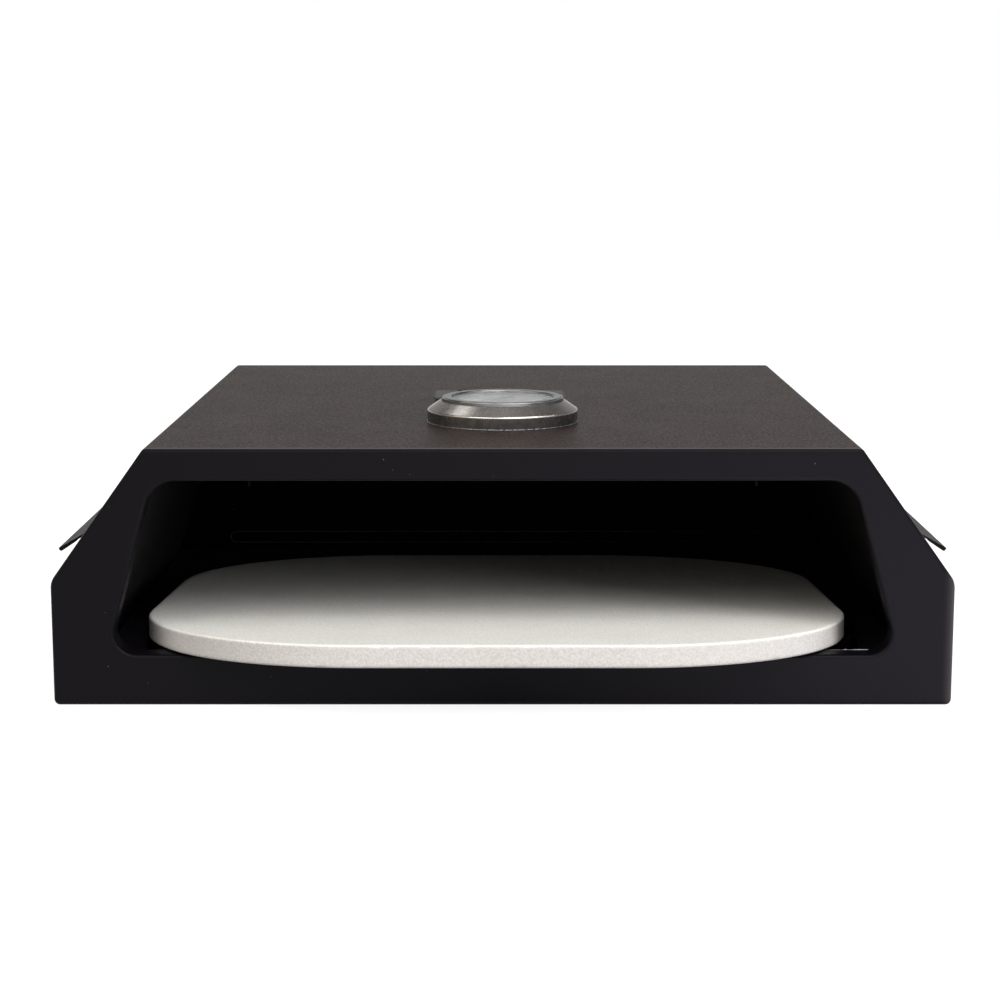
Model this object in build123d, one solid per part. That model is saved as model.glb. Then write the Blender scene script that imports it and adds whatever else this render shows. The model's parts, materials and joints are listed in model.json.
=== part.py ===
from build123d import *
import math
import os

# Pizza oven that stands on a barbecue grate: a double-skinned steel box with a
# wide front mouth, a tilted baking stone and a dial thermometer in the roof.
# Millimetres. X is the width, +Y runs from the mouth to the back, +Z is up and
# z = 0 is the plane that the oven stands on.

# Sheet metal
SHEET = 1.0
LINER_SHEET = 0.8

# Baking stone, which leans on the mouth's lower lip and on the floor
STONE_WIDTH = 326.0
STONE_LENGTH = 318.0
STONE_THICKNESS = 10.0
STONE_FRONT_RADIUS = 104.5
STONE_BACK_RADIUS = 108.0
STONE_ARRIS = 1.0
STONE_OVERHANG = 51.0
STONE_SIDE_SHIFT = -2.8
STONE_SIDE_PLAY = 3.8
REST_GAP = 0.3

# Mouth, sized to let the stone through
MOUTH_PLAY = 12.5
MOUTH_BOTTOM = 23.0
MOUTH_HEIGHT = 78.1
MOUTH_TOP_RADIUS = 13.5
MOUTH_BOTTOM_RADIUS = 10.0
LIP_DEPTH = 10.5
LIP_BEND = 1.7

# Outer body, around the mouth and the stone
SIDE_BAND = 24.5
TOP_BAND = 14.3
TOP_CORNER_BAND = 3.5
ROOF_INSET = 42.5
BACK_ROOM = 72.5
FOLD_HEIGHT = 55.9
FOLD_RADIUS = 9.0
ROOF_CORNER_RADIUS = 2.6
BASE_CORNER_RADIUS = 2.6
BASE_FLANGE = 16.0

# End panels, each a shallow pan whose joggled flange slips inside the body
RIM_DEPTH = 3.2
RIM_BEND = 1.8
PAN_FLANGE = 15.0
PAN_CLEARANCE = 0.1

# Inner liner, clear of the body's sides and of the mouth's lip
LINER_MARGIN = 6.0
LINER_TOP_MARGIN = 6.7
LINER_CORNER_RADIUS = 12.0
LINER_FRONT_GAP = 1.1
LINER_BACK_GAP = 1.0
BACKWALL_FLANGE = 4.6
BEAD_RISE_FROM_FLOOR = 5.6
BEAD_HEIGHT = 6.5
BEAD_MARGIN = 31.5
BEAD_DEPTH = 1.2

# Floor tray with heat slots under the stone
FLOOR_RISE = 2.0
FLOOR_GAP = 1.0
SLOT_WIDTH = 8.0
SLOT_LENGTH = 90.0
SLOT_GAP = 19.0
SLOT_ROW_GAP = 28.0
SLOT_COLUMNS = 9
SLOT_ROWS = 2

# Brackets beside the stone
BRACKET_MIDDLE = 70.0
BRACKET_LENGTH = 16.0
BRACKET_SHEET = 1.2
BRACKET_SHELF = 16.0
BRACKET_LIP = 2.4

# Side handles
HANDLE_SHEET = 1.0
HANDLE_RISE = 10.1
HANDLE_FLANGE = 15.0
HANDLE_WING = 21.7
HANDLE_DROP_ANGLE = 30.0
HANDLE_BEND_RADIUS = 4.0
HANDLE_START = 80.0
HANDLE_LENGTH = 190.0
HANDLE_HEM = 9.0
HEM_HEEL = 0.4
HEM_ROUNDNESS = 0.95
HANDLE_RIVETS = 3
HANDLE_RIVET_MARGIN = 20.0
HANDLE_RIVET_EDGE = 6.0

# Dial thermometer, from its middle outward and from the roof up
DIAL_PLACE = 94.5
CUP_RADIUS = 28.0
CUP_SHEET = 0.6
SEAT_CLEARANCE = 0.05
BEZEL_SHEET = 0.7
BEZEL_GROOVE = 0.45
BEZEL_LIP = 3.5
BEZEL_EDGE_RADIUS = 0.6
BEZEL_SEAT_DROP = 2.0
CASE_SHEET = 0.8
CONE_RUN = 6.0
CONE_RISE = 4.2
SKIRT_HEIGHT = 6.0
SKIRT_BEND_RADIUS = 1.2
RIM_WIDTH = 0.15
RIM_THICKNESS = 0.6
DIAL_SHELF_HEIGHT = 8.6
DIAL_SHELF_WIDTH = 4.0
DIAL_THICKNESS = 0.5
DIAL_HOLE = 1.6
NEEDLE_ROOM = 1.1
LENS_THICKNESS = 1.2

# Probe, its clamp through both skins, and the movement
BOSS_RADIUS = 6.0
BOSS_FLANGE_WIDTH = 4.0
BOSS_FLANGE = 1.0
BOSS_TIP = 1.5
HOLE_CLEARANCE = 0.25
SLEEVE_WALL = 1.0
NUT_HEIGHT = 5.0
NUT_WALL = 2.5
WASHER_WALL = 1.5
WASHER_THICKNESS = 1.0
STEM_RADIUS = 4.0
STEM_WALL = 0.8
STEM_REACH = 7.2
STEM_END = 1.0
SHAFT_RADIUS = 0.75
SHAFT_RUNNING_FIT = 0.05
BUSH_LENGTH = 4.0
COLLAR_WIDTH = 0.85
COLLAR_THICKNESS = 0.8
COLLAR_PLAY = 0.3
COIL_CLEARANCE = 0.6
COIL_WALL = 1.0
COIL_LENGTH = 14.0
NEEDLE_EDGE_GAP = 5.5
NEEDLE_TAIL = 7.0
NEEDLE_WIDTH = 2.4
NEEDLE_TIP_WIDTH = 0.5
NEEDLE_SHEET = 0.3
NEEDLE_GAP = 0.3
NEEDLE_HUB = 2.2
NEEDLE_REST_ANGLE = 225.0

# Vent cover behind the thermometer
VENT_DISTANCE = 39.2
VENT_SIDE_SHIFT = -1.5
VENT_WIDTH = 66.8
VENT_LENGTH = 32.0
VENT_GAP = 1.4
VENT_SHEET = 0.8
VENT_CORNER_RADIUS = 1.5
VENT_SPACER_RADIUS = 3.0
VENT_RIVET_INSET = 4.0
VENT_RIVET_SPREAD = 41.0
VENT_SLOTS = 3
VENT_SLOT_LENGTH = 14.0
VENT_SLOT_WIDTH = 5.0
VENT_SLOT_GAP = 4.0

# Roof brace between the two skins, behind the vent
BRACE_DISTANCE = 36.0
BRACE_LENGTH = 250.0
BRACE_CROWN = 24.0
BRACE_FOOT = 12.0

# Rivets
RIVET_RADIUS = 1.6
RIVET_HEAD_RADIUS = 3.2
RIVET_HEAD_HEIGHT = 1.1
RIVET_TAIL_WIDTH = 0.8
RIVET_TAIL = 1.4
RIVET_FIT = 0.1
DRILL_LENGTH = 19.2
SMALL_RIVET_SCALE = 0.6
MOUTH_RIVET_SPREAD = 224.0
PIN_RADIUS = 0.6
PIN_LENGTH = 2.4
MOUTH_RIVET_EDGE = 3.0
BACK_RIVET_INSET = 9.0
BACK_RIVET_LOW = 16.0
BACK_RIVET_RISE = 26.0
LINER_RIVET_SPREAD = 180.0

# Places worked out from the sizes above
MOUTH_TOP = MOUTH_BOTTOM + MOUTH_HEIGHT
HEIGHT = MOUTH_TOP + TOP_BAND
MOUTH_BOTTOM_WIDTH = STONE_WIDTH + 2 * MOUTH_PLAY
WIDTH = MOUTH_BOTTOM_WIDTH + 2 * SIDE_BAND
ROOF_WIDTH = WIDTH - 2 * ROOF_INSET
MOUTH_TOP_WIDTH = ROOF_WIDTH - 2 * TOP_CORNER_BAND
DEPTH = LIP_DEPTH + STONE_LENGTH - STONE_OVERHANG + BACK_ROOM
FLOOR_TOP = 2 * SHEET + FLOOR_RISE
STONE_SLOPE = math.asin((MOUTH_BOTTOM - FLOOR_TOP) / (STONE_LENGTH - STONE_OVERHANG))
STONE_REACH = STONE_OVERHANG * math.cos(STONE_SLOPE) - LIP_DEPTH
FRONT_Y = (STONE_REACH - DEPTH) / 2
ROOF_UNDERSIDE = HEIGHT - SHEET
LINER_FRONT = SHEET + LINER_FRONT_GAP
LINER_BACK = DEPTH - SHEET - LINER_BACK_GAP
LINER_CEILING = MOUTH_TOP + SHEET
LINER_FOOT = 2 * SHEET + PAN_CLEARANCE
CEILING_TOP = LINER_CEILING + LINER_SHEET
BACKWALL = LINER_BACK - BACKWALL_FLANGE
DIAL_Y = FRONT_Y + DIAL_PLACE
HOLE_RADIUS = BOSS_RADIUS + HOLE_CLEARANCE
CUP_FLOOR = HEIGHT + CUP_SHEET
CUP_HEIGHT = DIAL_SHELF_HEIGHT + DIAL_THICKNESS + NEEDLE_ROOM
DIAL_TOP = HEIGHT + DIAL_SHELF_HEIGHT + DIAL_THICKNESS
BEZEL_INNER = CUP_RADIUS + SEAT_CLEARANCE
BEZEL_OUTER = BEZEL_INNER + BEZEL_SHEET
CONE_RADIUS = BEZEL_OUTER + BEZEL_GROOVE + CASE_SHEET
CONE_HEIGHT = SKIRT_HEIGHT + CONE_RISE
SKIRT_RADIUS = CONE_RADIUS + CONE_RUN
RIM_RADIUS = SKIRT_RADIUS + RIM_WIDTH
BEZEL_SEAT_HEIGHT = CONE_HEIGHT - BEZEL_SEAT_DROP
NUT_UNDERSIDE = LINER_CEILING - WASHER_THICKNESS - NUT_HEIGHT
NUT_INRADIUS = BOSS_RADIUS + NUT_WALL
BOSS_END = NUT_UNDERSIDE - BOSS_TIP
STEM_BORE = STEM_RADIUS - STEM_WALL
STEM_TIP = BOSS_END - STEM_REACH
VENT_FRONT = DIAL_PLACE + RIM_RADIUS + VENT_DISTANCE
BRACE_FRONT = VENT_FRONT + VENT_LENGTH + BRACE_DISTANCE


def shifted_corners(points, distance, closed=True):
    """Corners of a path moved to its left by a distance, mitred at each corner."""
    count = len(points)
    moved = []
    for index, (x, y) in enumerate(points):
        before = points[index - 1]
        after = points[(index + 1) % count]
        normals = []
        if closed or index > 0:
            run = math.hypot(x - before[0], y - before[1])
            normals.append(((before[1] - y) / run, (x - before[0]) / run))
        if closed or index < count - 1:
            run = math.hypot(after[0] - x, after[1] - y)
            normals.append(((y - after[1]) / run, (after[0] - x) / run))
        sum_x = sum(normal[0] for normal in normals)
        sum_y = sum(normal[1] for normal in normals)
        scale = distance * len(normals) / (sum_x**2 + sum_y**2)
        moved.append((x + sum_x * scale, y + sum_y * scale))
    return moved


def outline(points, radii, inset=0.0):
    """Face of a counter-clockwise outline with rounded corners, moved inward by inset."""
    corners = shifted_corners(points, inset)
    rounded = [max(radius - inset, 0.0) for radius in radii]
    return make_face(FilletPolyline(*corners, radius=rounded, close=True))


def strip(points, thickness, bend_radii):
    """Face of a bent sheet: the path is its right side, the bends are rounded."""
    other = shifted_corners(points, thickness, closed=False)
    turns = []
    for index, radius in enumerate(bend_radii, start=1):
        before, here, after = points[index - 1], points[index], points[index + 1]
        cross = (here[0] - before[0]) * (after[1] - here[1]) - (here[1] - before[1]) * (after[0] - here[0])
        turns.append((radius + thickness, radius) if cross > 0 else (radius, radius + thickness))
    right_side = [0.0] + [turn[0] for turn in turns] + [0.0]
    left_side = [0.0] + [turn[1] for turn in reversed(turns)] + [0.0]
    return make_face(FilletPolyline(*points, *reversed(other), radius=right_side + left_side, close=True))


def along_depth(section, start, end):
    """Prism of an X-Z section between two distances behind the front face."""
    plane = Plane(origin=(0, FRONT_Y + start, 0), x_dir=(1, 0, 0), z_dir=(0, -1, 0))
    return extrude(plane * section, amount=end - start, dir=(0, 1, 0))


def along_width(section, length):
    """Prism of a section drawn as distance behind the front face and height, centred on X."""
    plane = Plane(origin=(-length / 2, FRONT_Y, 0), x_dir=(0, 1, 0), z_dir=(1, 0, 0))
    return extrude(plane * section, amount=length)


def turned(points, place, height, rounded=None):
    """Solid of revolution from radius and height pairs, with some of its corners rounded."""
    rounded = rounded or {}
    radii = [rounded.get(point, 0.0) for point in points]
    profile = make_face(FilletPolyline(*points, radius=radii, close=True))
    return Pos(0, place, height) * revolve(Plane.XZ * profile, Axis.Z)


def ring(outer, inner, low, high):
    """Ring around the thermometer's axis."""
    return turned([(inner, low), (outer, low), (outer, high), (inner, high)], DIAL_Y, 0)


def rod(radius, low, high):
    """Round rod on the thermometer's axis."""
    return Pos(0, DIAL_Y, low) * Cylinder(radius, high - low, align=(Align.CENTER, Align.CENTER, Align.MIN))


def rivet(grip, scale=1.0, pin=0.0):
    """Rivet along +Z: a domed head above z = 0, its tail under a grip of sheet, and a pin left in the tail."""
    head = RIVET_HEAD_RADIUS * scale
    rise = RIVET_HEAD_HEIGHT * scale
    shank = RIVET_RADIUS * scale
    tail = (RIVET_RADIUS + RIVET_TAIL_WIDTH) * scale
    end = -grip - RIVET_TAIL * scale
    dome = RadiusArc((head, 0), (0, rise), -(head**2 + rise**2) / (2 * rise))
    rest = Polyline((0, rise), (0, end), (tail, end), (tail, -grip), (shank, -grip), (shank, 0), (head, 0))
    body = revolve(Plane.XZ * make_face([dome, rest]), Axis.Z)
    if pin:
        body += Pos(0, 0, end) * Cylinder(PIN_RADIUS, pin, align=(Align.CENTER, Align.CENTER, Align.MAX))
    return body


def rivet_hole(plane, scale=1.0):
    """Drill for a rivet that stands on a plane."""
    return plane.location * Cylinder((RIVET_RADIUS + RIVET_FIT) * scale, DRILL_LENGTH * scale)


def even_places(first, last, count):
    """Evenly spaced places from first to last."""
    return [first + (last - first) * index / (count - 1) for index in range(count)]


def stepped(point, direction, distance):
    """Point moved along a unit vector."""
    return (point[0] + direction[0] * distance, point[1] + direction[1] * distance)


def mirrored(shape):
    """Copy of a shape on the other side of the oven."""
    return mirror(shape, about=Plane.YZ)


# Outlines of the body, the mouth and the liner, counter-clockwise seen from the front
BODY_POINTS = [
    (-WIDTH / 2, 0),
    (WIDTH / 2, 0),
    (WIDTH / 2, FOLD_HEIGHT),
    (ROOF_WIDTH / 2, HEIGHT),
    (-ROOF_WIDTH / 2, HEIGHT),
    (-WIDTH / 2, FOLD_HEIGHT),
]
BODY_RADII = [
    BASE_CORNER_RADIUS,
    BASE_CORNER_RADIUS,
    FOLD_RADIUS,
    ROOF_CORNER_RADIUS,
    ROOF_CORNER_RADIUS,
    FOLD_RADIUS,
]
MOUTH_POINTS = [
    (-MOUTH_BOTTOM_WIDTH / 2, MOUTH_BOTTOM),
    (MOUTH_BOTTOM_WIDTH / 2, MOUTH_BOTTOM),
    (MOUTH_TOP_WIDTH / 2, MOUTH_TOP),
    (-MOUTH_TOP_WIDTH / 2, MOUTH_TOP),
]
MOUTH_RADII = [MOUTH_BOTTOM_RADIUS, MOUTH_BOTTOM_RADIUS, MOUTH_TOP_RADIUS, MOUTH_TOP_RADIUS]


def liner_points(foot):
    """Inner outline of the chamber from a foot height up, counter-clockwise."""
    floor_half = WIDTH / 2 - LINER_MARGIN
    top_half = MOUTH_TOP_WIDTH / 2 + LINER_TOP_MARGIN
    lean = (floor_half - top_half) / (LINER_CEILING - FLOOR_TOP)
    foot_half = floor_half + lean * (FLOOR_TOP - foot)
    return [(-foot_half, foot), (foot_half, foot), (top_half, LINER_CEILING), (-top_half, LINER_CEILING)]


def wall_direction():
    """Unit vector up the right-hand slanted wall and its outward normal, as X-Z pairs."""
    run = ROOF_WIDTH / 2 - WIDTH / 2
    rise = HEIGHT - FOLD_HEIGHT
    length = math.hypot(run, rise)
    return (run / length, rise / length), (rise / length, -run / length)


def wall_point(height):
    """Point of the right-hand slanted wall's outer face at a height, as an X-Z pair."""
    share = (height - FOLD_HEIGHT) / (HEIGHT - FOLD_HEIGHT)
    return (WIDTH / 2 + (ROOF_WIDTH / 2 - WIDTH / 2) * share, height)


def handle_rivet_planes():
    """Planes of the right handle's rivet heads, on the outer face of its flange."""
    up, out = wall_direction()
    bend = wall_point(FOLD_HEIGHT + HANDLE_RISE)
    x, z = stepped(stepped(bend, up, HANDLE_FLANGE - HANDLE_RIVET_EDGE), out, HANDLE_SHEET)
    first = HANDLE_START + HANDLE_RIVET_MARGIN
    last = HANDLE_START + HANDLE_LENGTH - HANDLE_RIVET_MARGIN
    return [
        Plane(origin=(x, FRONT_Y + place, z), x_dir=(0, 1, 0), z_dir=(out[0], 0, out[1]))
        for place in even_places(first, last, HANDLE_RIVETS)
    ]


def back_rivet_planes():
    """Planes of the rivets that hold the rear panel at the body's right-hand side."""
    place = FRONT_Y + DEPTH - BACK_RIVET_INSET
    return [
        Plane(origin=(WIDTH / 2, place, height), x_dir=(0, 1, 0), z_dir=(1, 0, 0))
        for height in (BACK_RIVET_LOW, BACK_RIVET_LOW + BACK_RIVET_RISE)
    ]


def vent_rivet_planes():
    """Planes of the vent cover's two rivets, on its top near the back edge."""
    place = FRONT_Y + VENT_FRONT + VENT_LENGTH - VENT_RIVET_INSET
    top = HEIGHT + VENT_GAP + VENT_SHEET
    return [
        Plane(origin=(VENT_SIDE_SHIFT + side * VENT_RIVET_SPREAD / 2, place, top), z_dir=(0, 0, 1))
        for side in (-1, 1)
    ]


def mouth_rivet_planes():
    """Planes of the two small rivets that hold the liner's ceiling on the mouth's lip."""
    place = FRONT_Y + LIP_DEPTH - MOUTH_RIVET_EDGE
    return [
        Plane(origin=(side * MOUTH_RIVET_SPREAD / 2, place, CEILING_TOP), z_dir=(0, 0, 1))
        for side in (-1, 1)
    ]


def liner_rivet_planes():
    """Planes of the small rivets that hold the chamber's back wall under its ceiling."""
    place = FRONT_Y + (BACKWALL + LINER_SHEET + LINER_BACK) / 2
    return [
        Plane(origin=(side * LINER_RIVET_SPREAD / 2, place, CEILING_TOP), z_dir=(0, 0, 1))
        for side in (-1, 0, 1)
    ]


def drilled(shape, planes, scale=1.0, both_sides=False):
    """Shape with rivet holes, on both sides of the oven where asked."""
    for plane in planes:
        drill = rivet_hole(plane, scale)
        shape -= drill
        if both_sides:
            shape -= mirrored(drill)
    return shape


def vent_slots(low, high):
    """Exhaust slots under the vent cover, between two heights."""
    middle = FRONT_Y + VENT_FRONT + (VENT_LENGTH - 2 * VENT_RIVET_INSET) / 2
    slot = extrude(SlotOverall(VENT_SLOT_LENGTH, VENT_SLOT_WIDTH), amount=high - low)
    pitch = VENT_SLOT_LENGTH + VENT_SLOT_GAP
    offsets = [(index - (VENT_SLOTS - 1) / 2) * pitch for index in range(VENT_SLOTS)]
    return [Pos(VENT_SIDE_SHIFT + offset, middle, low) * slot for offset in offsets]


def outer_shell():
    """Roof, slanted sides, upright sides and base flanges, bent from one sheet."""
    section = outline(BODY_POINTS, BODY_RADII) - outline(BODY_POINTS, BODY_RADII, SHEET)
    gap = WIDTH - 2 * BASE_FLANGE
    section -= Pos(0, SHEET / 2) * Rectangle(gap, 2 * SHEET)
    shell = along_depth(section, RIM_DEPTH, DEPTH - RIM_DEPTH)
    shell -= rod(HOLE_RADIUS, ROOF_UNDERSIDE - SHEET, HEIGHT + SHEET)
    for slot in vent_slots(ROOF_UNDERSIDE - SHEET, HEIGHT + SHEET):
        shell -= slot
    shell = drilled(shell, handle_rivet_planes() + back_rivet_planes(), both_sides=True)
    return drilled(shell, vent_rivet_planes(), SMALL_RIVET_SCALE)


def pan():
    """End panel as the front one is bent: a face, a rounded rim and a joggled flange."""
    body = along_depth(outline(BODY_POINTS, BODY_RADII), 0, RIM_DEPTH)
    front = body.faces().sort_by(Axis.Y)[0]
    body = fillet(front.edges(), RIM_BEND)
    inner = SHEET + PAN_CLEARANCE
    flange = along_depth(outline(BODY_POINTS, BODY_RADII, inner), SHEET, SHEET + PAN_FLANGE)
    hollow = along_depth(outline(BODY_POINTS, BODY_RADII, inner + SHEET), SHEET, SHEET + PAN_FLANGE)
    return body + flange - hollow


def front_panel():
    """Front pan with the mouth, whose edge turns inward as a lip."""
    panel = pan()
    panel += along_depth(outline(MOUTH_POINTS, MOUTH_RADII, -SHEET), SHEET / 2, LIP_DEPTH)
    panel -= along_depth(outline(MOUTH_POINTS, MOUTH_RADII), -SHEET, LIP_DEPTH + SHEET)
    face = panel.faces().sort_by(Axis.Y)[0]
    mouth_edge = face.inner_wires()[0].edges()
    panel = fillet(mouth_edge, LIP_BEND)
    return drilled(panel, mouth_rivet_planes(), SMALL_RIVET_SCALE)


def rear_panel():
    """Rear pan, the front one's blank turned about, with no mouth."""
    middle = Plane.XZ.offset(-(FRONT_Y + DEPTH / 2))
    return drilled(mirror(pan(), about=middle), back_rivet_planes(), both_sides=True)


def inner_liner():
    """Slanted walls and ceiling of the baking chamber, bent from one sheet."""
    inner = liner_points(LINER_FOOT)
    radii = [0.0, 0.0, LINER_CORNER_RADIUS, LINER_CORNER_RADIUS]
    outer = shifted_corners(inner, -LINER_SHEET)
    section = make_face(
        FilletPolyline(*outer, radius=[0.0, 0.0] + [LINER_CORNER_RADIUS + LINER_SHEET] * 2, close=True)
    )
    section -= outline(inner, radii)
    section -= Pos(0, LINER_FOOT - LINER_SHEET) * Rectangle(WIDTH, 2 * LINER_SHEET)
    liner = along_depth(section, LINER_FRONT, LINER_BACK)
    liner -= rod(HOLE_RADIUS, LINER_CEILING - SHEET, CEILING_TOP + SHEET)
    for slot in vent_slots(LINER_CEILING - SHEET, CEILING_TOP + SHEET):
        liner -= slot
    return drilled(liner, mouth_rivet_planes() + liner_rivet_planes(), SMALL_RIVET_SCALE)


def liner_back_wall():
    """Back wall of the chamber with a stiffening bead and a flange under the ceiling."""
    foot = FLOOR_TOP + PAN_CLEARANCE
    points = liner_points(foot)
    radii = [0.0, 0.0, LINER_CORNER_RADIUS, LINER_CORNER_RADIUS]
    wall = along_depth(outline(points, radii, PAN_CLEARANCE), BACKWALL, LINER_BACK)
    hollow = shifted_corners(points, PAN_CLEARANCE + LINER_SHEET)
    below = hollow[0][1] - LINER_SHEET - PAN_CLEARANCE
    hollow[0] = (hollow[0][0], below)
    hollow[1] = (hollow[1][0], below)
    bend = LINER_CORNER_RADIUS - LINER_SHEET
    wall -= along_depth(
        make_face(FilletPolyline(*hollow, radius=[0.0, 0.0, bend, bend], close=True)),
        BACKWALL + LINER_SHEET,
        LINER_BACK + SHEET,
    )
    bead_middle = FLOOR_TOP + BEAD_RISE_FROM_FLOOR + BEAD_HEIGHT / 2
    bead_width = WIDTH - 2 * (LINER_MARGIN + BEAD_MARGIN)
    bead = Pos(0, bead_middle) * SlotOverall(bead_width, BEAD_HEIGHT)
    groove = Pos(0, bead_middle) * SlotOverall(bead_width - 2 * LINER_SHEET, BEAD_HEIGHT - 2 * LINER_SHEET)
    wall += along_depth(bead, BACKWALL - BEAD_DEPTH, BACKWALL + LINER_SHEET)
    wall -= along_depth(groove, BACKWALL - BEAD_DEPTH + LINER_SHEET, BACKWALL + 2 * LINER_SHEET)
    return drilled(wall, liner_rivet_planes(), SMALL_RIVET_SCALE)


def floor_tray():
    """Chamber floor with heat slots, whose side rims stand on the body's base flanges."""
    half = WIDTH / 2 - LINER_MARGIN - FLOOR_GAP
    start = FRONT_Y + SHEET + PAN_CLEARANCE
    end = FRONT_Y + LINER_BACK
    tray = Pos(0, (start + end) / 2, FLOOR_TOP - SHEET / 2) * Box(2 * half, end - start, SHEET)
    rim_start = FRONT_Y + SHEET + PAN_FLANGE + FLOOR_GAP
    rim_end = FRONT_Y + DEPTH - SHEET - PAN_FLANGE - FLOOR_GAP
    rim = Box(SHEET, rim_end - rim_start, FLOOR_TOP - SHEET)
    rim_height = SHEET + (FLOOR_TOP - SHEET) / 2
    for side in (-1, 1):
        tray += Pos(side * (half - SHEET / 2), (rim_start + rim_end) / 2, rim_height) * rim
    slot = extrude(SlotOverall(SLOT_LENGTH, SLOT_WIDTH, rotation=90), amount=3 * SHEET)
    slots_middle = FRONT_Y + LIP_DEPTH + (STONE_LENGTH - STONE_OVERHANG) / 2
    for column in range(SLOT_COLUMNS):
        for row in range(SLOT_ROWS):
            x = (column - (SLOT_COLUMNS - 1) / 2) * (SLOT_WIDTH + SLOT_GAP)
            y = slots_middle + (row - (SLOT_ROWS - 1) / 2) * (SLOT_LENGTH + SLOT_ROW_GAP)
            tray -= Pos(x, y, FLOOR_TOP - 2 * SHEET) * slot
    return tray


def pizza_stone():
    """Stone slab with round corners, leaning from the mouth's lower lip to the floor."""
    half = STONE_WIDTH / 2
    points = [(-half, -STONE_OVERHANG), (half, -STONE_OVERHANG)]
    points += [(x, STONE_LENGTH - STONE_OVERHANG) for x in (half, -half)]
    radii = [STONE_FRONT_RADIUS, STONE_FRONT_RADIUS, STONE_BACK_RADIUS, STONE_BACK_RADIUS]
    slab = extrude(outline(points, radii), amount=STONE_THICKNESS)
    rims = slab.faces().sort_by(Axis.Z)
    slab = fillet(rims[0].edges() + rims[-1].edges(), STONE_ARRIS)
    slope = (0, math.sin(STONE_SLOPE), math.cos(STONE_SLOPE))
    lip_edge = (STONE_SIDE_SHIFT, FRONT_Y + LIP_DEPTH, MOUTH_BOTTOM + REST_GAP)
    return Plane(origin=lip_edge, x_dir=(1, 0, 0), z_dir=slope).location * slab


def stone_bracket():
    """Right-hand bracket: a foot, an upright with a lip beside the stone, and a shelf under it."""
    back = BRACKET_MIDDLE + BRACKET_LENGTH / 2
    underside = MOUTH_BOTTOM + REST_GAP - (back - LIP_DEPTH) * math.tan(STONE_SLOPE)
    shelf_top = underside - REST_GAP
    inner = STONE_WIDTH / 2 + STONE_SIDE_PLAY
    outer = inner + BRACKET_SHEET
    tip = inner - BRACKET_SHELF
    lip_top = shelf_top + BRACKET_LIP
    section = Polyline(
        (tip, FLOOR_TOP),
        (outer, FLOOR_TOP),
        (outer, lip_top),
        (inner, lip_top),
        (inner, shelf_top),
        (tip, shelf_top),
        (tip, shelf_top - BRACKET_SHEET),
        (inner, shelf_top - BRACKET_SHEET),
        (inner, FLOOR_TOP + BRACKET_SHEET),
        (tip, FLOOR_TOP + BRACKET_SHEET),
        close=True,
    )
    start = BRACKET_MIDDLE - BRACKET_LENGTH / 2
    return along_depth(make_face(section), start, start + BRACKET_LENGTH)


def side_handle():
    """Right-hand handle: a flange on the slanted wall that flares out into a hemmed wing."""
    up = wall_direction()[0]
    bend = wall_point(FOLD_HEIGHT + HANDLE_RISE)
    drop = math.radians(HANDLE_DROP_ANGLE)
    along = (math.cos(drop), -math.sin(drop))
    under = (along[1], -along[0])
    tip = stepped(bend, along, HANDLE_WING)
    path = [stepped(bend, up, HANDLE_FLANGE), bend, tip]
    section = strip(path, HANDLE_SHEET, [HANDLE_BEND_RADIUS])
    hem_start = stepped(tip, along, -HANDLE_HEM)
    hem_points = [
        hem_start,
        stepped(hem_start, under, HEM_HEEL),
        stepped(tip, under, HANDLE_SHEET),
        stepped(tip, under, -HANDLE_SHEET),
        stepped(hem_start, under, -HANDLE_SHEET),
    ]
    rounding = HEM_ROUNDNESS * HANDLE_SHEET
    hem = make_face(FilletPolyline(*hem_points, radius=[0.0, 0.0, rounding, rounding, 0.0], close=True))
    handle = along_depth(section, HANDLE_START, HANDLE_START + HANDLE_LENGTH)
    handle += along_depth(hem, HANDLE_START, HANDLE_START + HANDLE_LENGTH)
    return drilled(handle, handle_rivet_planes())


def roof_brace():
    """Hat section that keeps the roof and the chamber's ceiling apart."""
    low = CEILING_TOP
    high = ROOF_UNDERSIDE
    web_front = BRACE_FRONT + BRACE_FOOT
    web_back = web_front + BRACE_CROWN
    path = [
        (BRACE_FRONT, low),
        (web_front, low),
        (web_front, high - LINER_SHEET),
        (web_back, high - LINER_SHEET),
        (web_back, low),
        (web_back + BRACE_FOOT, low),
    ]
    return along_width(strip(path, LINER_SHEET, [LINER_SHEET] * 4), BRACE_LENGTH)


def vent_cover():
    """Flat plate over the exhaust slots, open all round, riveted through two spacers."""
    middle = FRONT_Y + VENT_FRONT + VENT_LENGTH / 2
    blank = RectangleRounded(VENT_WIDTH, VENT_LENGTH, VENT_CORNER_RADIUS)
    plate = Pos(VENT_SIDE_SHIFT, middle, HEIGHT + VENT_GAP) * extrude(blank, amount=VENT_SHEET)
    return drilled(plate, vent_rivet_planes(), SMALL_RIVET_SCALE)


def vent_spacers():
    """Two spacers between the roof and the vent cover, around its rivets."""
    align = (Align.CENTER, Align.CENTER, Align.MAX)
    spacer = Pos(0, 0, -VENT_SHEET) * Cylinder(VENT_SPACER_RADIUS, VENT_GAP, align=align)
    spacer -= rivet_hole(Plane.XY, SMALL_RIVET_SCALE)
    return Compound(children=[plane.location * spacer for plane in vent_rivet_planes()])


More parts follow.
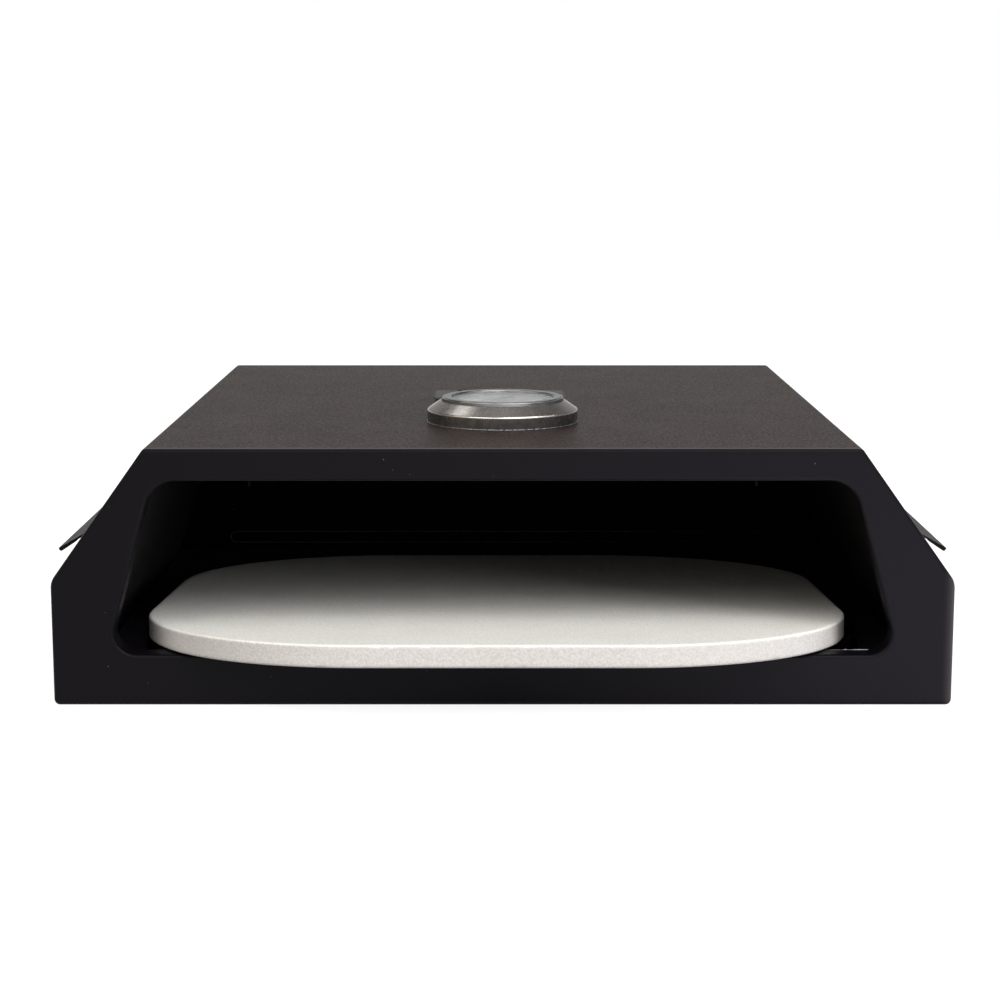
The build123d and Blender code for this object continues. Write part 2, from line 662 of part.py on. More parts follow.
def thermometer_case():
    """Outer bell of the thermometer: a flat rim, a skirt, a cone and a seat for the bezel."""
    inner_skirt = SKIRT_RADIUS - CASE_SHEET
    slope = (CONE_HEIGHT - SKIRT_HEIGHT) / (SKIRT_RADIUS - CONE_RADIUS)
    under_cone = SKIRT_HEIGHT + slope * CASE_SHEET - CASE_SHEET * math.hypot(1, slope)
    seat_under = BEZEL_SEAT_HEIGHT - CASE_SHEET
    points = [
        (inner_skirt, 0),
        (RIM_RADIUS, 0),
        (RIM_RADIUS, RIM_THICKNESS),
        (SKIRT_RADIUS, RIM_THICKNESS),
        (SKIRT_RADIUS, SKIRT_HEIGHT),
        (CONE_RADIUS, CONE_HEIGHT),
        (CONE_RADIUS - CASE_SHEET, CONE_HEIGHT),
        (CONE_RADIUS - CASE_SHEET, BEZEL_SEAT_HEIGHT),
        (BEZEL_INNER, BEZEL_SEAT_HEIGHT),
        (BEZEL_INNER, seat_under),
        (inner_skirt - (seat_under - under_cone) / slope, seat_under),
        (inner_skirt, under_cone),
    ]
    return turned(points, DIAL_Y, HEIGHT, {(SKIRT_RADIUS, SKIRT_HEIGHT): SKIRT_BEND_RADIUS})


def thermometer_cup():
    """Cup that holds the dial, with a pressed shelf and a hole for the boss."""
    inner = CUP_RADIUS - CUP_SHEET
    shelf_low = DIAL_SHELF_HEIGHT - CUP_SHEET
    points = [
        (HOLE_RADIUS, 0),
        (CUP_RADIUS, 0),
        (CUP_RADIUS, CUP_HEIGHT),
        (inner, CUP_HEIGHT),
        (inner, DIAL_SHELF_HEIGHT),
        (inner - DIAL_SHELF_WIDTH, DIAL_SHELF_HEIGHT),
        (inner - DIAL_SHELF_WIDTH, shelf_low),
        (inner, shelf_low),
        (inner, CUP_SHEET),
        (HOLE_RADIUS, CUP_SHEET),
    ]
    return turned(points, DIAL_Y, HEIGHT)


def thermometer_bezel():
    """Rolled ring that holds the lens on the cup."""
    top = CUP_HEIGHT + LENS_THICKNESS + BEZEL_SHEET
    aperture = CUP_RADIUS - BEZEL_LIP
    points = [
        (BEZEL_INNER, BEZEL_SEAT_HEIGHT),
        (BEZEL_OUTER, BEZEL_SEAT_HEIGHT),
        (BEZEL_OUTER, top),
        (aperture, top),
        (aperture, top - BEZEL_SHEET),
        (BEZEL_INNER, top - BEZEL_SHEET),
    ]
    edges = {(BEZEL_OUTER, top): BEZEL_EDGE_RADIUS, (aperture, top): BEZEL_EDGE_RADIUS}
    return turned(points, DIAL_Y, HEIGHT, edges)


def thermometer_lens():
    """Flat glass on the cup's edge."""
    low = HEIGHT + CUP_HEIGHT
    return rod(CUP_RADIUS - SEAT_CLEARANCE, low, low + LENS_THICKNESS)


def thermometer_dial():
    """Printed dial plate on the cup's shelf."""
    radius = CUP_RADIUS - CUP_SHEET - SEAT_CLEARANCE
    low = HEIGHT + DIAL_SHELF_HEIGHT
    return ring(radius, DIAL_HOLE, low, low + DIAL_THICKNESS)


def probe_stem():
    """Threaded boss with a flange in the cup, and a closed tube that reaches the chamber."""
    flange = BOSS_RADIUS + BOSS_FLANGE_WIDTH
    points = [
        (0, STEM_TIP),
        (STEM_RADIUS, STEM_TIP),
        (STEM_RADIUS, BOSS_END),
        (BOSS_RADIUS, BOSS_END),
        (BOSS_RADIUS, CUP_FLOOR),
        (flange, CUP_FLOOR),
        (flange, CUP_FLOOR + BOSS_FLANGE),
        (STEM_BORE, CUP_FLOOR + BOSS_FLANGE),
        (STEM_BORE, STEM_TIP + STEM_END),
        (0, STEM_TIP + STEM_END),
    ]
    return turned(points, DIAL_Y, 0)


def spacer_sleeve():
    """Sleeve around the boss that keeps the two skins apart when the nut is tight."""
    return ring(HOLE_RADIUS + SLEEVE_WALL, HOLE_RADIUS, CEILING_TOP, ROOF_UNDERSIDE)


def stem_washer():
    """Washer under the chamber's ceiling."""
    return ring(NUT_INRADIUS + WASHER_WALL, HOLE_RADIUS, LINER_CEILING - WASHER_THICKNESS, LINER_CEILING)


def stem_nut():
    """Hexagon nut on the boss, under the washer."""
    blank = extrude(RegularPolygon(NUT_INRADIUS, 6, major_radius=False), amount=NUT_HEIGHT)
    bore = Cylinder(BOSS_RADIUS + SEAT_CLEARANCE, 3 * NUT_HEIGHT)
    return Pos(0, DIAL_Y, NUT_UNDERSIDE) * (blank - bore)


def stem_bush():
    """Bush that guides the needle's shaft at the top of the stem."""
    high = CUP_FLOOR + BOSS_FLANGE
    return ring(STEM_BORE, SHAFT_RADIUS + SHAFT_RUNNING_FIT, high - BUSH_LENGTH, high)


def bimetal_coil():
    """Bimetal coil at the closed end of the stem, drawn as the sleeve it fills."""
    low = STEM_TIP + STEM_END
    outer = STEM_BORE - COIL_CLEARANCE
    return ring(outer, outer - COIL_WALL, low, low + COIL_LENGTH)


def needle_shaft():
    """Shaft from inside the coil to the needle, with a collar on each side of the bush."""
    low = STEM_TIP + STEM_END + NEEDLE_GAP
    shaft = rod(SHAFT_RADIUS, low, DIAL_TOP + NEEDLE_GAP)
    above = CUP_FLOOR + BOSS_FLANGE + COLLAR_PLAY
    below = CUP_FLOOR + BOSS_FLANGE - BUSH_LENGTH - COLLAR_PLAY - COLLAR_THICKNESS
    for start in (above, below):
        shaft += rod(SHAFT_RADIUS + COLLAR_WIDTH, start, start + COLLAR_THICKNESS)
    return shaft


def needle():
    """Pointer with a hub and a short tail, turned to the scale's cold end."""
    reach = CUP_RADIUS - BEZEL_LIP - NEEDLE_EDGE_GAP
    points = [
        (-NEEDLE_TAIL, -NEEDLE_WIDTH / 2),
        (0, -NEEDLE_WIDTH / 2),
        (reach, -NEEDLE_TIP_WIDTH / 2),
        (reach, NEEDLE_TIP_WIDTH / 2),
        (0, NEEDLE_WIDTH / 2),
        (-NEEDLE_TAIL, NEEDLE_WIDTH / 2),
    ]
    blade = make_face(Polyline(*points, close=True)) + Circle(NEEDLE_HUB)
    place = Location((0, DIAL_Y, DIAL_TOP + NEEDLE_GAP), (0, 0, NEEDLE_REST_ANGLE))
    return place * extrude(blade, amount=NEEDLE_SHEET)


def rivets(planes, grip, scale=1.0, both_sides=False, pin=0.0):
    """Group of like rivets, on both sides of the oven where asked."""
    group = [plane.location * rivet(grip, scale, pin) for plane in planes]
    if both_sides:
        group += [mirrored(item) for item in group]
    return Compound(children=group)


handle_grip = HANDLE_SHEET + SHEET
right_bracket = stone_bracket()
right_handle = side_handle()
right_handle_rivets = rivets(handle_rivet_planes(), handle_grip)

nodes = {
    "outer_shell": outer_shell(),
    "front_panel": front_panel(),
    "rear_panel": rear_panel(),
    "rear_panel_rivets": rivets(back_rivet_planes(), 2 * SHEET + PAN_CLEARANCE, both_sides=True),
    "inner_liner": inner_liner(),
    "liner_back_wall": liner_back_wall(),
    "mouth_lip_rivets": rivets(mouth_rivet_planes(), LINER_SHEET + SHEET, SMALL_RIVET_SCALE, pin=PIN_LENGTH),
    "liner_back_rivets": rivets(liner_rivet_planes(), 2 * LINER_SHEET + PAN_CLEARANCE, SMALL_RIVET_SCALE),
    "floor_tray": floor_tray(),
    "roof_brace": roof_brace(),
    "right_stone_bracket": right_bracket,
    "left_stone_bracket": mirrored(right_bracket),
    "pizza_stone": pizza_stone(),
    "right_handle": right_handle,
    "left_handle": mirrored(right_handle),
    "right_handle_rivets": right_handle_rivets,
    "left_handle_rivets": mirrored(right_handle_rivets),
    "vent_cover": vent_cover(),
    "vent_spacers": vent_spacers(),
    "vent_rivets": rivets(vent_rivet_planes(), VENT_SHEET + VENT_GAP + SHEET, SMALL_RIVET_SCALE),
    "thermometer_case": thermometer_case(),
    "thermometer_cup": thermometer_cup(),
    "thermometer_bezel": thermometer_bezel(),
    "thermometer_lens": thermometer_lens(),
    "thermometer_dial": thermometer_dial(),
    "probe_stem": probe_stem(),
    "stem_bush": stem_bush(),
    "bimetal_coil": bimetal_coil(),
    "spacer_sleeve": spacer_sleeve(),
    "stem_washer": stem_washer(),
    "stem_nut": stem_nut(),
    "needle_shaft": needle_shaft(),
    "needle": needle(),
}

os.makedirs("parts", exist_ok=True)
for name, shape in nodes.items():
    export_step(shape, f"parts/{name}.step")
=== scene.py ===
import json
import math

import bmesh
import bpy
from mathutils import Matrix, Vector
from mathutils import noise as field


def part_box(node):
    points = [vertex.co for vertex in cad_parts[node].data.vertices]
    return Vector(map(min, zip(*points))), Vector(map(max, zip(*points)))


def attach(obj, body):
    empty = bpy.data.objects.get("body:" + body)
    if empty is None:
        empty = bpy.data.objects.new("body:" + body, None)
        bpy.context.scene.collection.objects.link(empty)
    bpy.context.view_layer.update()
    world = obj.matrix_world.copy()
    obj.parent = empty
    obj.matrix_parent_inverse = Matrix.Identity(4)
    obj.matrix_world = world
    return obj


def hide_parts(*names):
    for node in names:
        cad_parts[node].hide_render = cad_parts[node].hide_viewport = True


# Looks of the grill top pizza oven around its fixed frame. Metres, +Z up, the mouth faces -Y.
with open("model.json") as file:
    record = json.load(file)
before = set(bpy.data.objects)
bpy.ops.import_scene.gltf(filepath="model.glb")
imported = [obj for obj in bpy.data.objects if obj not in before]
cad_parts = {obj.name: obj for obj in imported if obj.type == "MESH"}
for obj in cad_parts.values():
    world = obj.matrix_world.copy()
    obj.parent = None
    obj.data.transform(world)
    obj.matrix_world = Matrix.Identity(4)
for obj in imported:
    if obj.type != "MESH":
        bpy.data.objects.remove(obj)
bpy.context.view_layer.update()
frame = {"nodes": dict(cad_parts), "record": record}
nodes = frame["nodes"]
scene = bpy.context.scene

MM = 0.001
PHOTO_SIDE = 1000

# Camera, solved from the oven's own edges
CAMERA_DISTANCE = 940.6 * MM
CAMERA_SIDE = -1.2 * MM
CAMERA_HEIGHT = 251.4 * MM
CAMERA_PITCH = math.radians(9.57)
SENSOR = 36.0
FOCAL_PIXELS = 2175.0

WHITE = (1.0, 1.0, 1.0, 1.0)
BLACK = (0.0, 0.0, 0.0, 1.0)

# Radiance of the studio in front, where 1 is white: by the sine of its height, and low down also by how
# far it stands aside, from 0 at the left to 1 at the right
FRONT_LIGHT = ((0.0, 0.85), (0.34, 0.85), (0.42, 1.4), (0.66, 1.4), (0.76, 0.54))
FRONT_ACROSS = ((0.0, 1.4), (0.1, 1.4), (0.25, 0.95), (1.0, 1.15))
ACROSS_TOP = 0.42
ACROSS_FADE = 0.7 * ACROSS_TOP
FRONT_LEFT_TINT = (1.0, 0.94, 0.85, 1.0)
FRONT_RIGHT_TINT = (0.96, 0.99, 1.05, 1.0)
TINT_REACH = 0.7

# Radiance behind, which falls off high up at the sides
BACK_LIGHT = 0.35
BACK_FALL = -1.5
BACK_FALL_FROM = 0.3
BACK_FALL_TO = 0.6
BACK_LEAST = 0.3
FRONT_TO_BACK = 0.1

# White backdrop that shows low down all round, and the floor
BACKDROP_TOP = 0.065
BACKDROP_FADE = 0.11
FLOOR_SIDE = 8.0
FLOOR_GREY = (0.3, 0.3, 0.3, 1.0)
FLOOR_GLOW = 0.84

# Reflector card on the floor in front of the oven, seen by gloss alone: brighter to the right, and dimmed
# close to the middle of the oven's front as a painted shadow of the stone's overhang
CARD_LOW = (-0.3, -1.0)
CARD_HIGH = (1.0, -0.156)
CARD_LIFT = 1.0 * MM
CARD_GLOW_LEFT = 0.9
CARD_GLOW_RIGHT = 3.7
CARD_RIGHT_TINT = (0.98, 0.95, 1.1, 1.0)
CARD_TILT_REACH = 0.3
CARD_SHADE = 0.8
SHADE_REACH = 0.22

# Lamps: where each stands, its width and height, and its power in watts
KEY_PLACE = (0.5, -1.05, 1.25)
KEY_SIZE = (1.5, 1.1)
KEY_POWER = 17.9
SIDE_PLACE = (1.25, -1.2, 0.55)
SIDE_SIZE = (0.7, 0.8)
SIDE_POWER = 16.0
FILL_PLACE = (-0.75, -1.0, 1.2)
FILL_SIZE = (0.8, 0.5)
FILL_POWER = 5.0
DIAL_LAMP_PLACE = (-0.1, 0.62, 0.9)
DIAL_LAMP_SIZE = (0.3, 0.3)
DIAL_LAMP_POWER = 4.4
TOP_PLACE = (-0.55, 0.64, 1.3)
TOP_SIZE = (0.6, 0.35)
TOP_POWER = 0.9
OVEN_MIDDLE = (0, 0, 0.05)
OVEN_ROOF = (0, 0, 0.1)

# Sizes read from the frame
FRONT_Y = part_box("front_panel")[0].y
ROOF_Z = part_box("outer_shell")[1].z
CASE_LOW, CASE_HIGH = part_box("thermometer_case")
DIAL_LOW, DIAL_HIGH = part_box("thermometer_dial")
DIAL_X = (DIAL_LOW.x + DIAL_HIGH.x) / 2
DIAL_Y = (DIAL_LOW.y + DIAL_HIGH.y) / 2
DIAL_RADIUS = (DIAL_HIGH.x - DIAL_LOW.x) / 2
DIAL_FOOT = (DIAL_X, DIAL_Y, ROOF_Z)
STONE_LOW, STONE_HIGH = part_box("pizza_stone")
STONE_MIDDLE = (STONE_LOW + STONE_HIGH) / 2
SLIDE = next(joint for joint in frame["record"]["behaviour"]["joints"] if joint["name"] == "stone_slide")
STONE_SLOPE = math.atan2(SLIDE["axis"][2], -SLIDE["axis"][1])

# Stone slab
STONE_WIDTH = STONE_HIGH.x - STONE_LOW.x
STONE_LENGTH = 318.0 * MM
STONE_THICKNESS = 10.0 * MM
STONE_FRONT_RADIUS = 104.5 * MM
STONE_BACK_RADIUS = 108.0 * MM
STONE_ARRIS = 1.0 * MM
STONE_STEP = 1.3 * MM

# Wear of the slab's arrises: an even rub, and chips where two noises together pass a limit. A share of
# each cut goes inward, and as much goes down or up
RUB_DEPTH = 0.06 * MM
RUB_GRAIN = 1.1 * MM
CHIP_DEPTH = 0.45 * MM
CHIP_GRAIN = 3.2 * MM
CHIP_FINE_GRAIN = 1.2 * MM
CHIP_LIMIT = 0.4
CHIP_STEEPNESS = 2.2
WEAR_SHARE = 0.7

# Fired stone's look: grains, stains, yellow flecks and pores
STONE_GRAIN = 0.9 * MM
STAIN_SIZE = 30.0 * MM
FLECK_SPACING = 2.2 * MM
FLECK_RADIUS = 0.44 * MM
FLECK_SHARE = 0.3
PORE_SPACING = 3.4 * MM
PORE_RADIUS = 0.6 * MM
PORE_SHARE = 0.1
STONE_RELIEF = 0.12 * MM

# Powder coat: grain and depth of its coarse and its smooth kind, its mottling and its pale specks
TEXTURE_GRAIN = 1.2 * MM
TEXTURE_DEPTH = 0.02 * MM
SMOOTH_GRAIN = 0.8 * MM
SMOOTH_DEPTH = 0.01 * MM
GRAIN_STRETCH = (1.0, 0.5, 1.0)
GRAIN_SHARE = 0.9
MOTTLE_SIZE = 25.0 * MM
MOTTLE_SHARE = 0.1
DUST_SPACING = 5.0 * MM
DUST_RADIUS = 0.35 * MM
DUST_SHARE = 0.25
DUST_STRENGTH = 0.3

# Mouth of the front panel, with the bare edges of its lip
MOUTH_BOTTOM = 23.0 * MM
MOUTH_HALF = 175.5 * MM
MOUTH_CORNER = 10.0 * MM
MOUTH_MIDDLE = (0.0, FRONT_Y, 62.0 * MM)
LIP_DEPTH = 10.5 * MM
BARE_EDGE_RADIUS = 0.42 * MM
BARE_EDGE_SIDES = 8
BARE_EDGE_GRAIN = 1.3 * MM
BARE_EDGE_TIP = 0.15
BARE_EDGE_START = 147.0 * MM
BARE_EDGE_STEPS = 24

# Rubbed foot of the thermometer's skirt
FOOT_STEPS = 360
FOOT_UNEVENNESS = 0.5
FOOT_SEAT = 0.6 * BARE_EDGE_RADIUS

# Bead of the back wall, whose edges carry a painted highlight line
BEAD_HALF = 162.5 * MM
BEAD_HEIGHT = 6.5 * MM
BEAD_MIDDLE = 12.85 * MM
BEAD_STEP = 1.5 * MM
BEAD_UNEVENNESS = 0.4

# Painted highlight: the front panel's coat takes its pale rim tone along its right rim
RIM_HIGHLIGHT_FROM = 194.5 * MM
RIM_HIGHLIGHT_TO = 200.5 * MM

# Brushed lines on the thermometer, drawn out along its radius
BRUSH_RADIUS = 33.0 * MM
BRUSH_STRETCH = 0.12
SCRATCH_SIZE = 0.5 * MM
SCRATCH_DEPTH = 0.012 * MM
CLOUD_SIZE = 3.0 * MM

# Print on the dial, from the middle outward, with angles from +X turning to +Y
PRINT_SHEET = 0.05 * MM
SCALE_START = 225.0
SCALE_SWEEP = 270.0
SCALE_STEPS = 10
RED_ARC_START = -62.0
RED_ARC_SWEEP = -56.0
SCALE_RADIUS = 22.6 * MM
TICK_LENGTH = 2.6 * MM
SHORT_TICK = 0.6 * TICK_LENGTH
TICK_WIDTH = 0.4 * MM
BAND_WIDTH = 0.8 * TICK_LENGTH
INNER_RING = 0.37 * DIAL_RADIUS
OUTER_RING = 0.87 * DIAL_RADIUS
NUMBER_RADIUS = 14.0 * MM
NUMBER_SIZE = 3.4 * MM
NUMBER_STEP = 50
UNIT_RADIUS = 1.03 * NUMBER_RADIUS
UNIT_SIZE = 1.5 * NUMBER_SIZE
LETTER_WEIGHT = 0.02


def add(tree, kind, sockets=None, **settings):
    """New node with its settings and its inputs, each a value or another node's output."""
    node = tree.nodes.new(kind)
    for name, value in settings.items():
        setattr(node, name, value)
    for key, value in (sockets or {}).items():
        if isinstance(value, bpy.types.NodeSocket):
            tree.links.new(value, node.inputs[key])
        else:
            node.inputs[key].default_value = value
    return node


def math_node(tree, operation, first, second=0.0):
    """Output of a Math node."""
    return add(tree, "ShaderNodeMath", {0: first, 1: second}, operation=operation).outputs[0]


def vector_node(tree, operation, first, second=(0.0, 0.0, 0.0)):
    """Outputs of a Vector Math node."""
    return add(tree, "ShaderNodeVectorMath", {0: first, 1: second}, operation=operation).outputs


def split(tree, vector):
    """The X, Y and Z of a vector."""
    return add(tree, "ShaderNodeSeparateXYZ", {0: vector}).outputs


def remapped(tree, value, low, high, to_low=0.0, to_high=1.0):
    """Value moved from one range to another, and held inside it."""
    sockets = {"Value": value, "From Min": low, "From Max": high, "To Min": to_low, "To Max": to_high}
    return add(tree, "ShaderNodeMapRange", sockets).outputs["Result"]


def profile(tree, value, stops):
    """Level that follows a value through a few stops, each a value and a level."""
    node = add(tree, "ShaderNodeValToRGB", {0: value})
    highest = max(level for _, level in stops)
    points = node.color_ramp.elements
    while len(points) < len(stops):
        points.new(1.0)
    for point, (position, level) in zip(points, stops):
        point.position = position
        point.color = [level / highest] * 3 + [1.0]
    return math_node(tree, "MULTIPLY", node.outputs["Color"], highest)


def blended(tree, factor, first, second):
    """Mix of two levels."""
    return add(tree, "ShaderNodeMix", {0: factor, 2: first, 3: second}, data_type="FLOAT").outputs[0]


def mixed(tree, factor, first, second, blend="MIX"):
    """Mix of two colours."""
    sockets = {0: factor, 6: first, 7: second}
    return add(tree, "ShaderNodeMix", sockets, data_type="RGBA", blend_type=blend).outputs[2]


def place(tree):
    """Position in the object's own frame, in metres."""
    return add(tree, "ShaderNodeTexCoord").outputs["Object"]


def facing(tree):
    """Direction in which the surface faces, in the object's own frame."""
    return add(tree, "ShaderNodeTexCoord").outputs["Normal"]


def stretched(tree, vector, scale):
    """Position with a scale for each axis."""
    return add(tree, "ShaderNodeMapping", {"Vector": vector, "Scale": scale}).outputs["Vector"]


def noise(tree, vector, size, detail=2.0, roughness=0.5):
    """Noise from 0 to 1 whose grains are about that size."""
    sockets = {"Vector": vector, "Scale": 1 / size, "Detail": detail, "Roughness": roughness}
    return add(tree, "ShaderNodeTexNoise", sockets).outputs["Fac"]


def bumped(tree, height, depth):
    """Normal of a surface raised by height times depth."""
    sockets = {"Height": height, "Distance": depth, "Strength": 1.0}
    return add(tree, "ShaderNodeBump", sockets).outputs["Normal"]


def new_material(name, **values):
    """Material with one Principled shader, whose plain values are set on its own sockets."""
    material = bpy.data.materials.new(name)
    material.use_nodes = True
    shader = material.node_tree.nodes["Principled BSDF"]
    for key, value in values.items():
        shader.inputs[key.replace("_", " ")].default_value = value
    return material, material.node_tree, shader


def colour(red, green, blue):
    """Linear colour from the 0 to 255 values that a picture shows."""
    linear = []
    for value in (red, green, blue):
        share = value / 255
        linear.append(share / 12.92 if share <= 0.04045 else ((share + 0.055) / 1.055) ** 2.4)
    return (*linear, 1.0)


def dimmed(base, share):
    """Colour with only a share of its light."""
    return [share * part for part in base[:3]] + [1.0]


def specks(tree, vector, spacing, radius, share):
    """Sparse round specks, 1 inside and 0 outside, in a share of the cells."""
    cells = add(tree, "ShaderNodeTexVoronoi", {"Vector": vector, "Scale": 1 / spacing})
    picked = math_node(tree, "GREATER_THAN", cells.outputs["Color"], 1 - share)
    edge = radius / spacing
    middle = remapped(tree, cells.outputs["Distance"], 0.6 * edge, edge, 1.0, 0.0)
    return math_node(tree, "MULTIPLY", picked, middle)


def turned_away(tree):
    """Shares of the front panel's rim, painted light, and of its mouth's lip, painted shade, each 0 on the
    face itself.
    """
    normal = facing(tree)
    turned = remapped(tree, split(tree, normal)["Y"], -0.6, -0.2)
    away = vector_node(tree, "SUBTRACT", place(tree), MOUTH_MIDDLE)[0]
    flat = vector_node(tree, "MULTIPLY", away, (1.0, 0.0, 1.0))[0]
    outward = vector_node(tree, "DOT_PRODUCT", flat, normal)["Value"]
    rim = math_node(tree, "MULTIPLY", turned, math_node(tree, "GREATER_THAN", outward, 0.0))
    lip = math_node(tree, "MULTIPLY", turned, math_node(tree, "LESS_THAN", outward, 0.0))
    return rim, lip


def powder_coat(name, dark, light, level, rough=0.5, grain=SMOOTH_GRAIN, depth=SMOOTH_DEPTH, turned=None):
    """Baked powder coat: fine orange peel, a mottled tone, pale specks, any painted light on its rim and
    painted shade on its lip.
    """
    material, tree, shader = new_material(name, Specular_IOR_Level=level)
    here = place(tree)
    fine = noise(tree, stretched(tree, here, GRAIN_STRETCH), grain, 3.0, 0.7)
    broad = noise(tree, here, MOTTLE_SIZE, 2.0)
    fine_part = math_node(tree, "MULTIPLY", fine, GRAIN_SHARE)
    broad_part = math_node(tree, "MULTIPLY", broad, MOTTLE_SHARE)
    tone = remapped(tree, math_node(tree, "ADD", fine_part, broad_part), 0.35, 0.65)
    base = mixed(tree, tone, dark, light)
    # Painted light: a pale tone on faces turned up and aside and along the right rim; painted shade: a dark
    # tone on the mouth's lip
    if turned:
        rim_painted_light, lip_painted_shade = turned
        rim, lip = turned_away(tree)
        side = remapped(tree, split(tree, here)["X"], RIM_HIGHLIGHT_FROM, RIM_HIGHLIGHT_TO)
        side = math_node(tree, "POWER", side, 2.0)
        base = mixed(tree, math_node(tree, "MAXIMUM", rim, side), base, rim_painted_light)
        base = mixed(tree, lip, base, lip_painted_shade)
    dust = specks(tree, here, DUST_SPACING, DUST_RADIUS, DUST_SHARE)
    base = mixed(tree, math_node(tree, "MULTIPLY", dust, DUST_STRENGTH), base, colour(170, 168, 165))
    tree.links.new(base, shader.inputs["Base Color"])
    dullness = remapped(tree, tone, 0.0, 1.0, rough + 0.08, rough - 0.08)
    tree.links.new(dullness, shader.inputs["Roughness"])
    tree.links.new(bumped(tree, fine, depth), shader.inputs["Normal"])
    return material


def cordierite():
    """Fired stone: pale, matt and granular, with small pores, faint stains and painted shade on its upright
    sides.
    """
    material, tree, shader = new_material("cordierite", Specular_IOR_Level=0.25, Roughness=0.92)
    here = place(tree)
    grains = noise(tree, here, STONE_GRAIN, 3.0, 0.7)
    stains = noise(tree, here, STAIN_SIZE, 3.0)
    base = mixed(tree, remapped(tree, grains, 0.38, 0.62), colour(203, 200, 193), colour(223, 222, 217))
    base = mixed(tree, remapped(tree, stains, 0.45, 0.8, 0.0, 0.35), base, colour(201, 197, 188))
    flecks = specks(tree, here, FLECK_SPACING, FLECK_RADIUS, FLECK_SHARE)
    base = mixed(tree, math_node(tree, "MULTIPLY", flecks, 0.35), base, colour(196, 182, 148))
    pores = specks(tree, here, PORE_SPACING, PORE_RADIUS, PORE_SHARE)
    base = mixed(tree, math_node(tree, "MULTIPLY", pores, 0.5), base, colour(150, 145, 136))
    height = math_node(tree, "SUBTRACT", grains, math_node(tree, "MULTIPLY", pores, 0.8))
    # Painted shade: the upright sides a little darker and bluer than the top
    side = remapped(tree, split(tree, facing(tree))["Z"], 0.2, 0.7, 1.0, 0.0)
    edge = mixed(tree, 1.0, base, colour(223, 220, 222), "MULTIPLY")
    base = mixed(tree, side, base, edge)
    tree.links.new(base, shader.inputs["Base Color"])
    tree.links.new(bumped(tree, height, STONE_RELIEF), shader.inputs["Normal"])
    return material


def brushed_steel(name, base, rough, mottle=0.3, upright_shade_level=1.0):
    """Stainless steel brushed outward from the dial's axis, with painted shade on upright faces."""
    material, tree, shader = new_material(name, Metallic=1.0, Anisotropic=0.2)
    here = place(tree)
    parts = split(tree, vector_node(tree, "SUBTRACT", here, DIAL_FOOT)[0])
    angle = math_node(tree, "ARCTAN2", parts["Y"], parts["X"])
    flat = add(tree, "ShaderNodeCombineXYZ", {"X": parts["X"], "Y": parts["Y"]}).outputs[0]
    radius = vector_node(tree, "LENGTH", flat)["Value"]
    unrolled = {
        "X": math_node(tree, "MULTIPLY", angle, BRUSH_RADIUS),
        "Y": math_node(tree, "MULTIPLY", radius, BRUSH_STRETCH),
        "Z": math_node(tree, "MULTIPLY", parts["Z"], BRUSH_STRETCH),
    }
    around = add(tree, "ShaderNodeCombineXYZ", unrolled).outputs[0]
    scratches = noise(tree, around, SCRATCH_SIZE, 3.0, 0.7)
    cloud = noise(tree, here, CLOUD_SIZE, 3.0)
    worn = dimmed(base, 1 - 0.4 * mottle)
    tone = mixed(tree, remapped(tree, scratches, 0.3, 0.7), worn, base)
    # Painted shade: upright faces darkened to the upright shade level
    side = remapped(tree, split(tree, facing(tree))["Z"], 0.15, 0.45, 1.0, 0.0)
    tone = mixed(tree, side, tone, dimmed(base, upright_shade_level))
    tree.links.new(tone, shader.inputs["Base Color"])
    spread = 0.1 * mottle
    dullness = remapped(tree, cloud, 0.35, 0.65, rough - spread, rough + spread)
    tree.links.new(dullness, shader.inputs["Roughness"])
    tree.links.new(bumped(tree, scratches, SCRATCH_DEPTH), shader.inputs["Normal"])
    tangent = add(tree, "ShaderNodeTangent", direction_type="RADIAL", axis="Z")
    tree.links.new(tangent.outputs[0], shader.inputs["Tangent"])
    return material


def plain_metal(name, base, rough, grain):
    """Plated or turned metal with a faint grain."""
    material, tree, shader = new_material(name, Metallic=1.0)
    grains = noise(tree, place(tree), grain, 3.0)
    tree.links.new(mixed(tree, grains, dimmed(base, 0.7), base), shader.inputs["Base Color"])
    tree.links.new(remapped(tree, grains, 0.2, 0.8, rough - 0.08, rough + 0.08), shader.inputs["Roughness"])
    return material


def lens_glass():
    """Clear glass with faint wipe marks."""
    material, tree, shader = new_material("lens_glass", Transmission_Weight=1.0, IOR=1.5, Alpha=0.75)
    smear = noise(tree, stretched(tree, place(tree), (1.0, 0.3, 1.0)), 7 * MM, 2.0)
    tree.links.new(remapped(tree, smear, 0.45, 0.8, 0.0, 0.12), shader.inputs["Roughness"])
    shader.inputs["Base Color"].default_value = (0.97, 0.985, 0.99, 1.0)
    return material


def enamel(name, base, rough=0.35):
    """Printed enamel with a very faint mottle."""
    material, tree, shader = new_material(name)
    mottle = noise(tree, place(tree), 3 * MM, 2.0)
    tree.links.new(mixed(tree, mottle, dimmed(base, 0.9), base), shader.inputs["Base Color"])
    tree.links.new(remapped(tree, mottle, 0.2, 0.8, rough - 0.05, rough + 0.1), shader.inputs["Roughness"])
    return material


def dress(material, *names):
    """Gives CAD nodes their material."""
    for name in names:
        slots = nodes[name].data.materials
        slots.clear()
        slots.append(material)


def background_share(tree):
    """1 for rays from the camera, from gloss and through glass, and 0 for the rays that light things."""
    path = add(tree, "ShaderNodeLightPath")
    share = math_node(tree, "MAXIMUM", path.outputs["Is Camera Ray"], path.outputs["Is Glossy Ray"])
    return math_node(tree, "MAXIMUM", share, path.outputs["Is Transmission Ray"])


